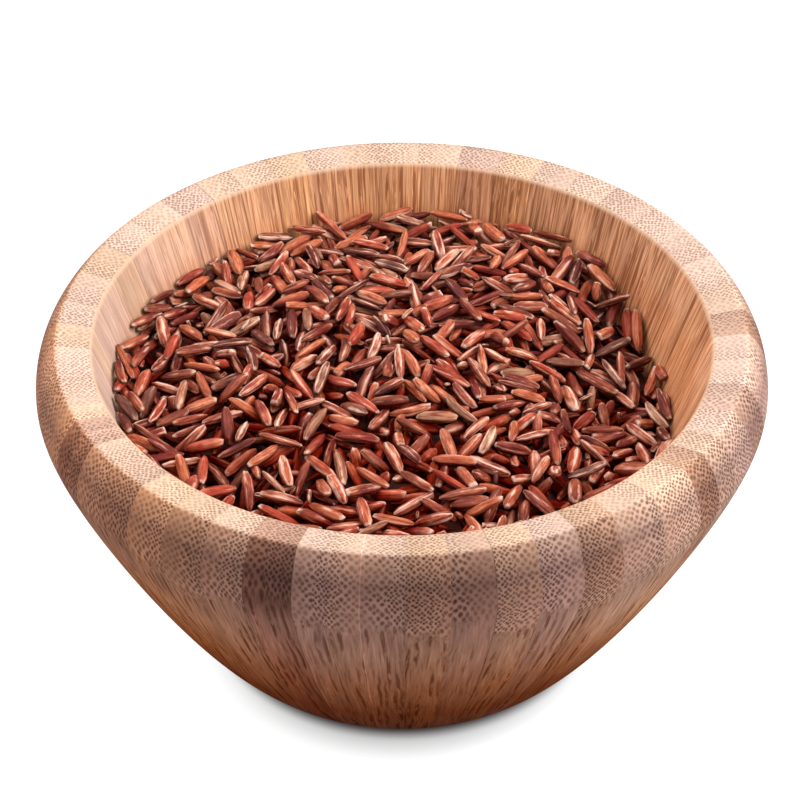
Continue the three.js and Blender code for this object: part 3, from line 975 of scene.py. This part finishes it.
def grains_piece(name, grains, finish, blunt, rng, s):
    """All grains of one kind as one mesh: each unit grain scaled, bent, rolled, tilted, turned.

    The bend adds bend * (1 - t^2) half lengths sideways.
    """
    unit, faces = unit_grain(blunt)
    n, v = len(grains), len(unit)
    x, y, z, turn, tilt, half, wide, thick = grains[:, :8].T
    roll = rng.normal(0, ROLL_SPREAD, n)
    bend = rng.normal(0, BEND_SPREAD, n)
    t = unit[:, 0]
    py = unit[:, 1] * wide[:, None] + bend[:, None] * half[:, None] * (1 - t * t)
    py, pz = swung(py, unit[:, 2] * thick[:, None], roll)
    px, pz = swung(t * half[:, None], pz, tilt)
    px, py = swung(px, py, turn)
    world = np.stack([x[:, None] + px, y[:, None] + py, z[:, None] + pz], 2).reshape(-1, 3)
    flat = [np.array(face) for face in faces]
    all_faces = [(face + i * v).tolist() for i in range(n) for face in flat]
    piece = new_piece(name, world, all_faces, finish, "red_rice")
    add_uv(piece.data, "skin", np.tile(grain_corner_uv(unit, faces), (n, 1)))
    own = rng.uniform(0, 1, (n, 6))
    add_values(piece.data, "grain", "POINT", np.repeat(own[:, :3], v, 0))
    sunk = (heap_height(world[:, 0], world[:, 1], s) - world[:, 2]) / SHADE_DEPTH
    marks_and_shade = np.repeat(own[:, 3:], v, 0)  # of these the first gives way to painted shade, by how sunk a point is
    lit = np.clip((world[:, 1] - LIT_FROM[0]) / (LIT_FROM[1] - LIT_FROM[0]), 0, 1)
    marks_and_shade[:, 0] = np.clip(sunk * (1 - LIT_SHARE * lit), 0, 1)
    add_values(piece.data, "lie_and_shade", "POINT", marks_and_shade)
    return piece


# A grain's bran. Noise scales are per turn round the grain, and per grain along it.
SKIN_SCALE = (3.0, 1.4)
OWN_PLACE = (50, 70)  # how far apart the grains lie in the noise
FIBRES = (3.0, 1.1)  # how much finer the streaks are
FIBRE_NOISE, PATCH_NOISE = (1.7, 4.0, 0.75), (1.3, 2.0, 0.5)  # scale, detail, roughness
RIDGES = 5 * math.pi

# Between which values each mask goes from 0 to 1.
DEEP, RIPE, TOWARD_GERM = (0.15, 0.95), (0.4, 1.0), (0.4, 1.1)
LIGHT_STREAK, CREST = (0.46, 0.80), (0.7, 1.0)
RUBBED, RUBBED_BARE = (0.88, 1.13), (1.02, 1.22)
SEAM_LINE, SEAM_SHOWS = (0.06, 0.01), (0.72, 0.9)
TIPPED, GERM, POINT = (0.15, 0.75), (0.88, 0.985), (0.04, 0.01)
FLANK, SUNK, SUNK_BARE = (0.12, 0.38), (0.1, 0.85), (0.1, 0.6)

# How much each cause counts.
GERM_BY = (0.9, 0.7)  # patch and the grain's own draw
GERM_RIPE = (0.25, 0.45)  # least share of ripe skin towards the germ, and more on ripe kinds
STREAK_BY = (0.9, 0.4)  # fibre and patch
WORN_BY = (0.8, 0.75, 0.18)  # fibre, patch and crest
RUBBED_SHARE, RUBBED_BARE_SHARE = 0.95, 0.85
SEAM_FROM, SEAM_BY, SEAM_SWAY, SEAM_SHARE = 0.3, 0.4, 0.12, 0.6
GERM_SWAY, LEAST_TIP, POINT_SWAY, POINT_OWN, POINT_SHARE = 0.25, 0.3, 0.1, 0.05, 0.7

# Tints of the bran, and of the painted shade on the grains' flanks and in the gaps between them.
DEEP_TINT = (0.42, 0.3, 0.36)
LIGHT_TINT, DARK_TINT = (1.42, 1.8, 2.1), (0.58, 0.27, 0.20)
FLANK_SHADE_TINT, SUNK_SHADE_TINT = (0.48, 0.22, 0.16), (0.42, 0.10, 0.07)

BRAN_RELIEF = (0.6, 0.0003)  # the ridges' share of it, and its depth in m
BRAN_GLOSS = (0.32, 0.2)  # roughness, and what the fibres add
BRAN_SPECULAR = 0.2
SUNK_ROUGHNESS = 0.9


def grain_finish(name, skin, s, ripe, scuff, tip):
    """Bran with fine streaks: rubbed along them, pale at the tips and different on each grain, with
    painted shade on the flanks and deeper down, and a painted highlight partly in the rubbed bran.
    """
    f = Finish(name)
    round_it, along, _ = f.parts(f.uv("skin"))
    shade, patchy, hue = f.parts(f.attribute("grain"))
    sunk, ends, lines = f.parts(f.attribute("lie_and_shade"))
    place = f.node("CombineXYZ", inputs={
        0: round_it * SKIN_SCALE[0] + shade * OWN_PLACE[0],
        1: along * SKIN_SCALE[1] + hue * OWN_PLACE[1],
    })
    fibre = f.noise(f.stretch(place, *FIBRES), *FIBRE_NOISE)
    patch = f.noise(place, *PATCH_NOISE)
    ridge = f.math("ABSOLUTE", f.math("COSINE", round_it * RIDGES))

    deep = [part * tint for part, tint in zip(skin, DEEP_TINT)]
    own = f.mix(f.ramp(patchy, *DEEP), skin, deep)
    own = f.mix(f.ramp(hue, *RIPE) * ripe, own, s.ripe_skin)
    toward_germ = along + f.swing(patch, GERM_BY[0]) + f.swing(lines, GERM_BY[1])
    germ_ripe = GERM_RIPE[0] + ripe * GERM_RIPE[1]
    own = f.mix(f.ramp(toward_germ, *TOWARD_GERM) * germ_ripe, own, s.ripe_skin)
    streaks = f.ramp(fibre * STREAK_BY[0] + patch * STREAK_BY[1], *LIGHT_STREAK)
    light, dark = (f.vector("MULTIPLY", own, tint) for tint in (LIGHT_TINT, DARK_TINT))
    body = f.mix(streaks, dark, light)

    # rubbed bran on the ridge crests and in patches, pale enough to stand in part for a painted
    # highlight
    by_fibre, by_patch, by_crest = WORN_BY
    worn = fibre * by_fibre + patch * by_patch + f.ramp(ridge, *CREST) * by_crest
    worn = worn + f.swing(shade, scuff)
    body = f.mix(f.ramp(worn, *RUBBED) * RUBBED_SHARE, body, s.rubbed_and_sheen)
    body = f.mix(f.ramp(worn, *RUBBED_BARE) * RUBBED_BARE_SHARE, body, s.pale_tip)

    side = f.math("ABSOLUTE", round_it - SEAM_FROM - lines * SEAM_BY)
    line = f.ramp(side + f.swing(fibre, SEAM_SWAY), *SEAM_LINE)
    line = line * f.ramp(lines * SEAM_BY + patch, *SEAM_SHOWS)
    germ = f.ramp(along + f.swing(fibre, GERM_SWAY), *GERM) * f.least(f.ramp(ends, *TIPPED), LEAST_TIP)
    point = f.ramp(along + f.swing(fibre, POINT_SWAY) + f.swing(patchy, POINT_OWN), *POINT)
    pale = f.math("MAXIMUM", f.math("MAXIMUM", line * SEAM_SHARE, germ), point * POINT_SHARE)
    body = f.mix(pale * tip, body, s.pale_tip)

    # painted shade: each grain darker on its flanks and underside than on its top
    flank_shade = f.ramp(f.math("ABSOLUTE", round_it - 0.5), *FLANK)
    body = f.tint(flank_shade, body, FLANK_SHADE_TINT)
    # painted shade: grains darker and redder the deeper they lie below the heap's surface, with their
    # gloss taken off there
    depth = f.ramp(sunk, *SUNK)
    body = f.tint(depth, body, SUNK_SHADE_TINT)
    relief = f.bump(ridge * BRAN_RELIEF[0] + fibre, BRAN_RELIEF[1])
    bran = {"Base_Color": body, "Normal": relief}
    return f.surface(
        bare=f.shader(Roughness=SUNK_ROUGHNESS, Specular_IOR_Level=0.0, **bran),
        share=f.ramp(depth, *SUNK_BARE),
        Roughness=BRAN_GLOSS[0] + fibre * BRAN_GLOSS[1],
        Specular_IOR_Level=BRAN_SPECULAR, **bran,
    )


CORE_COLUMNS = 96
CORE_RINGS = 24  # round the bottom, and as many over the top
CORE_TIP = 0.02  # share of the radius of its last ring


def core_mesh(s, finish):
    """The dark mass below the loose grains, fitted to the wall: the heap's surface, sunk."""
    b = bpy.context.scene.rice_bowl_bowl
    top = (b.height - b.rim_fall) / MM
    floor = b.floor_height / MM
    wall_foot = b.wall_foot_height / MM
    start = (wall_radius(wall_foot), wall_foot)
    curve = bezier(
        [start, (start[0] - b.wall_slope * WALL_FOOT_REACH, wall_foot - WALL_FOOT_REACH),
         (b.foot_radius / MM, floor), (0, floor)], CORE_RINGS,
    )[::-1]
    angle = 2 * math.pi * np.arange(CORE_COLUMNS) / CORE_COLUMNS
    level = np.ones(CORE_COLUMNS)
    rings = []
    for radius, height in curve[1:]:
        rings.append((level * (radius - CORE_GAP), level * (height + CORE_GAP)))
    edge = wall_radius(s.edge_height / MM - s.layer_depth / MM) - CORE_GAP
    for share in np.linspace(1, CORE_TIP, CORE_RINGS):
        x, y = edge * share * np.cos(angle), edge * share * np.sin(angle)
        z = heap_height(x, y, s) - s.layer_depth / MM
        radius = level * edge * share
        if share == 1:
            radius = b.rim_inner_radius / MM - b.wall_slope * (top - z) - CORE_GAP
        rings.append((radius, z))
    vertices = np.concatenate(
        [[[0, 0, floor + CORE_GAP]]]
        + [np.stack([r * np.cos(angle), r * np.sin(angle), z], 1) for r, z in rings]
        + [[[0, 0, heap_height(0, 0, s) - s.layer_depth / MM]]]
    )
    faces = turned_faces(len(rings), CORE_COLUMNS)
    return new_piece("rice_core", vertices, faces, finish, "red_rice")


CORE_SPOTS = (500.0, 3.0)  # noise scale per m, and detail
CORE_RED, CORE_DARK = 0.25, 0.6  # how much of the two skins' colour the shade leaves
CORE_ROUGHNESS, CORE_RELIEF = 0.8, 0.0004


def core_finish(s):
    """Dark bran in the shade between the grains."""
    f = Finish("rice_in_shade")
    spots = f.noise(f.node("TexCoord", output="Object"), *CORE_SPOTS)
    red = [part * CORE_RED for part in s.red_skin]
    dark = [part * CORE_DARK for part in s.dark_skin]
    body = f.mix(spots, red, dark)
    return f.surface(
        Base_Color=body, Roughness=CORE_ROUGHNESS, Normal=f.bump(spots, CORE_RELIEF)
    )


# ---------------------------------------------------------------- operators


class RICEBOWL_OT_bowl(bpy.types.Operator):
    """Make the turned bamboo bowl."""

    bl_idname = "ricebowl.bowl"
    bl_label = "Bamboo bowl"

    def execute(self, context):
        s = context.scene.rice_bowl_bowl
        bowl_mesh(s, bamboo_finish(s))
        return {"FINISHED"}


class RICEBOWL_OT_core(bpy.types.Operator):
    """Make the mass of rice below the loose grains."""

    bl_idname = "ricebowl.core"
    bl_label = "Rice core"

    def execute(self, context):
        s = context.scene.rice_bowl_rice
        core_mesh(s, core_finish(s))
        return {"FINISHED"}


RED_UP_TO, DARK_UP_TO = 0.65, 0.90  # of a draw from 0 to 1; the rest are tan


class RICEBOWL_OT_grains(bpy.types.Operator):
    """Lay the loose grains, one mesh for each kind."""

    bl_idname = "ricebowl.grains"
    bl_label = "Rice grains"

    def execute(self, context):
        s = context.scene.rice_bowl_rice
        grains = lay_grains(s)
        rng = np.random.default_rng(s.seed + 1)
        draw = rng.uniform(0, 1, len(grains))
        whole, broken, splinter = (grains[:, 8] == kind for kind in (WHOLE, BROKEN, SPLINTER))
        red, tan = whole & (draw < RED_UP_TO), whole & (draw >= DARK_UP_TO)
        dark = whole & (draw >= RED_UP_TO) & (draw < DARK_UP_TO)
        # name, which grains, skin, share of ripe skin, of scuffs and of pale tips, blunt end
        kinds = (
            ("red_grains", red, s.red_skin, 1.0, 0.34, 0.9, False),
            ("dark_grains", dark, s.dark_skin, 0.3, 0.16, 0.75, False),
            ("tan_grains", tan, s.tan_skin, 0.2, 0.3, 0.9, False),
            ("broken_grains", broken, s.red_skin, 1.0, 0.3, 1.0, True),
            ("rice_splinters", splinter, s.tan_skin, 0.4, 0.8, 1.0, True),
        )
        for name, chosen, skin, ripe, scuff, tip, blunt in kinds:
            finish = grain_finish(name + "_bran", list(skin), s, ripe, scuff, tip)
            grains_piece(name, grains[chosen], finish, blunt, rng, s)
        return {"FINISHED"}


class RICEBOWL_OT_stage(bpy.types.Operator):
    """Set up the camera, the pale floor and the studio light."""

    bl_idname = "ricebowl.stage"
    bl_label = "Stage"

    def execute(self, context):
        s = context.scene.rice_bowl_stage
        scene = context.scene
        add_camera(scene, s)
        add_floor(scene, s)
        add_lights(scene, s)
        scene.view_settings.view_transform = "Standard"
        return {"FINISHED"}


def add_camera(scene, s):
    camera = bpy.data.cameras.new("camera")
    camera.angle = s.view_angle
    camera.shift_x = s.shift
    holder = bpy.data.objects.new("camera", camera)
    tip = s.camera_elevation
    out = s.camera_distance * math.cos(tip)
    holder.location = (0, -out, s.target_height + s.camera_distance * math.sin(tip))
    holder.rotation_euler = (math.pi / 2 - tip, 0, 0)
    scene.collection.objects.link(holder)
    scene.camera = holder


FLOOR_HALF = 3.0  # m
FLOOR_ROUGHNESS = 0.9
CONTACT_SHADE = (0.0415, 0.0315)  # the floor's shade fades in between these distances, m
CONTACT_LINE = (0.0352, 0.0318)  # and its dark line against the foot between these
CONTACT_SQUEEZE = 1.12  # how much narrower the shade is from side to side
SHADE_TINT, LINE_TINT = (0.47, 0.47, 0.47), (0.03, 0.02, 0.02)
HORIZON = (0.05, -0.05)  # the world turns from sky to floor between these heights


def add_floor(scene, s):
    """A wide, plain square, with a soft shade close to the bowl's foot."""
    half = FLOOR_HALF
    corners = [(-half, -half, 0), (half, -half, 0), (half, half, 0), (-half, half, 0)]
    mesh = bpy.data.meshes.new("floor")
    mesh.from_pydata(corners, [], [(0, 1, 2, 3)])
    f = Finish("pale_floor")
    place = f.node("TexCoord", output="Object")
    squeezed = f.vector("LENGTH", f.stretch(place, CONTACT_SQUEEZE, 1.0), (0, 0, 0), "Value")
    distance = f.vector("LENGTH", place, (0, 0, 0), "Value")
    shade = f.mix(f.ramp(squeezed, *CONTACT_SHADE), (1, 1, 1), SHADE_TINT)
    shade = f.mix(f.ramp(distance, *CONTACT_LINE), shade, LINE_TINT)
    mesh.materials.append(f.surface(
        Base_Color=f.vector("MULTIPLY", shade, s.floor_colour), Roughness=FLOOR_ROUGHNESS,
        Emission_Color=shade, Emission_Strength=s.floor_glow,
    ))
    floor = bpy.data.objects.new("floor", mesh)
    scene.collection.objects.link(floor)
    floor.visible_diffuse = floor.visible_glossy = False


def add_lights(scene, s):
    """A soft world, with the floor's light from below for matte rays only, and four wide suns."""
    sky = Finish("surround", world=True)
    scene.world = sky.material
    height = sky.parts(sky.node("TexCoord", output="Generated"))[2]
    matte = sky.node("LightPath", output="Is Diffuse Ray")
    floor_share = sky.ramp(height, *HORIZON) * matte
    strength = s.surround + floor_share * (s.floor_bounce - s.surround)
    light = sky.node("Background", inputs={"Strength": strength, "Color": (1, 1, 1, 1)})
    sky.node("OutputWorld", inputs={"Surface": light})
    # name, strength, and in degrees the size of its disc, its azimuth and its elevation
    suns = (
        ("key", s.key_light, 45, -15, 38),
        ("side", s.side_light, 50, 200, 25),
        ("back", s.back_light, 60, 150, 45),
        ("top", s.top_light, 80, 100, 68),
    )
    for name, strength, spread, azimuth, elevation in suns:
        sun = bpy.data.lights.new(name, "SUN")
        sun.energy = strength
        sun.angle = math.radians(spread)
        holder = bpy.data.objects.new(name, sun)
        holder.rotation_euler = (0, math.radians(90 - elevation), math.radians(azimuth))
        scene.collection.objects.link(holder)


class RICEBOWL_PT_panel(bpy.types.Panel):
    """The bowl's settings and the buttons that make its pieces."""

    bl_label = "Bowl of red rice"
    bl_idname = "RICEBOWL_PT_panel"
    bl_space_type = "VIEW_3D"
    bl_region_type = "UI"
    bl_category = "Rice bowl"

    def draw(self, context):
        for group in (context.scene.rice_bowl_bowl, context.scene.rice_bowl_rice,
                      context.scene.rice_bowl_stage):
            column = self.layout.column()
            for name in group.__annotations__:
                column.prop(group, name)
        for operator in OPERATORS:
            self.layout.operator(operator.bl_idname)


OPERATORS = (RICEBOWL_OT_stage, RICEBOWL_OT_bowl, RICEBOWL_OT_core, RICEBOWL_OT_grains)
CLASSES = (BowlSettings, RiceSettings, StageSettings, *OPERATORS, RICEBOWL_PT_panel)


def register():
    for cls in CLASSES:
        bpy.utils.register_class(cls)
    bpy.types.Scene.rice_bowl_bowl = PointerProperty(type=BowlSettings)
    bpy.types.Scene.rice_bowl_rice = PointerProperty(type=RiceSettings)
    bpy.types.Scene.rice_bowl_stage = PointerProperty(type=StageSettings)


def unregister():
    del bpy.types.Scene.rice_bowl_stage
    del bpy.types.Scene.rice_bowl_rice
    del bpy.types.Scene.rice_bowl_bowl
    for cls in reversed(CLASSES):
        bpy.utils.unregister_class(cls)


def main():
    register()
    bpy.ops.ricebowl.stage()
    bpy.ops.ricebowl.bowl()
    bpy.ops.ricebowl.core()
    bpy.ops.ricebowl.grains()


if __name__ == "__main__":
    main()
